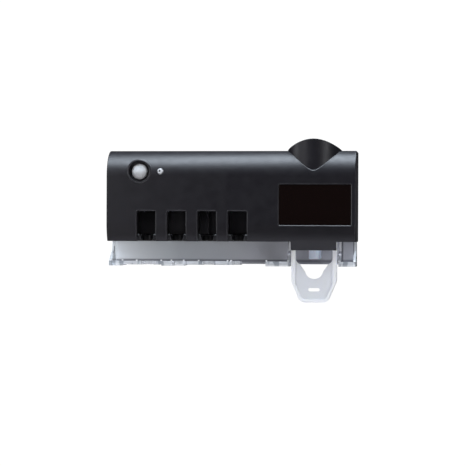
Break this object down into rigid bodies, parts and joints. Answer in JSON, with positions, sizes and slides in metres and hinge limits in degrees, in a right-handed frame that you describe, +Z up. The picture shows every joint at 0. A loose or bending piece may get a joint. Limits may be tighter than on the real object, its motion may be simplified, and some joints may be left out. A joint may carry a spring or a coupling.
{
  "type": "toothbrush sanitizer",
  "caption": "Wall-hung ultraviolet toothbrush sanitizer: black casing with open brush slots, clear neck guard, solar window, and a tube-fed toothpaste squeezer with a push lever.",
  "frame": {"origin": "centre of the adhesive pad's face, on the wall", "axes": "+X to the right seen from the front, +Y into the wall, +Z up"},
  "size_m": [0.205, 0.0546, 0.1341],
  "materials": {
    "cover_black": "fine-textured moulded ABS",
    "rack_black": "smooth moulded ABS",
    "clear_plastic": "clear polystyrene with a grey cast",
    "frosted_plastic": "frosted translucent polypropylene",
    "pump_plastic": "natural polypropylene",
    "silicone": "soft translucent silicone",
    "steel": "zinc-plated steel",
    "plate_plastic": "moulded ABS",
    "pad_foam": "acrylic foam tape",
    "reflector_metal": "polished sheet",
    "lamp_glass": "quartz glass",
    "cap_metal": "pressed aluminium",
    "board_green": "solder-masked glass-fibre board",
    "component_black": "moulded epoxy",
    "battery_sleeve": "shrink sleeve",
    "lens_white": "milky polyethylene",
    "led_clear": "clear epoxy",
    "window_glass": "smoked acrylic",
    "solar_cell": "amorphous silicon on glass"
  },
  "bodies": {
    "wall_mount": {"adhesive_pad": "pad_foam", "wall_plate": "plate_plastic"},
    "main_unit": {"front_cover": "cover_black", "rear_housing": "cover_black", "casing_screws": "steel", "tube_collar": "cover_black", "brush_rack": "rack_black", "neck_guard": "clear_plastic", "chamber_shield": "rack_black", "lamp_reflector": "reflector_metal", "uv_lamp": "lamp_glass", "lamp_caps": "cap_metal", "lamp_clips": "pump_plastic", "main_board": "board_green", "board_parts": "component_black", "usb_socket": "steel", "battery_cell": "battery_sleeve", "battery_cradle": "rack_black", "sensor_board": "board_green", "motion_sensor": "steel", "sensor_lens": "lens_white", "indicator_led": "led_clear", "solar_window": "window_glass", "solar_panel": "solar_cell"},
    "squeezer": {"squeezer_housing": "pump_plastic", "neck_seal": "silicone", "pump_block": "pump_plastic", "inlet_valve": "silicone", "pump_bellows": "silicone", "return_spring": "steel", "nozzle": "pump_plastic", "outlet_valve": "silicone", "lever_pins": "steel"},
    "lever": {"push_lever": "frosted_plastic"},
    "pump_slide": {"push_slide": "pump_plastic"}
  },
  "joints": [
    {"name": "unit_lift", "type": "slide", "parent": "wall_mount", "child": "main_unit", "axis": [0, 0, 1], "range_m": [0, 0.05]},
    {"name": "squeezer_pull", "type": "slide", "parent": "main_unit", "child": "squeezer", "axis": [0, 0, -1], "range_m": [0, 0.04]},
    {"name": "lever_push", "type": "hinge", "parent": "squeezer", "child": "lever", "pos_m": [0.068, -0.0377, -0.033], "axis": [1, 0, 0], "range_deg": [0, 16], "stiffness_Nm_per_rad": 0.4, "springref_deg": -5.73},
    {"name": "slide_push", "type": "slide", "parent": "squeezer", "child": "pump_slide", "axis": [0, 1, 0], "range_m": [0, 0.00252], "deforming": ["return_spring", "pump_bellows"]}
  ],
  "couplings": [
    {"joint": "slide_push", "follows": "lever_push", "m_per_rad": 0.009}
  ]
}
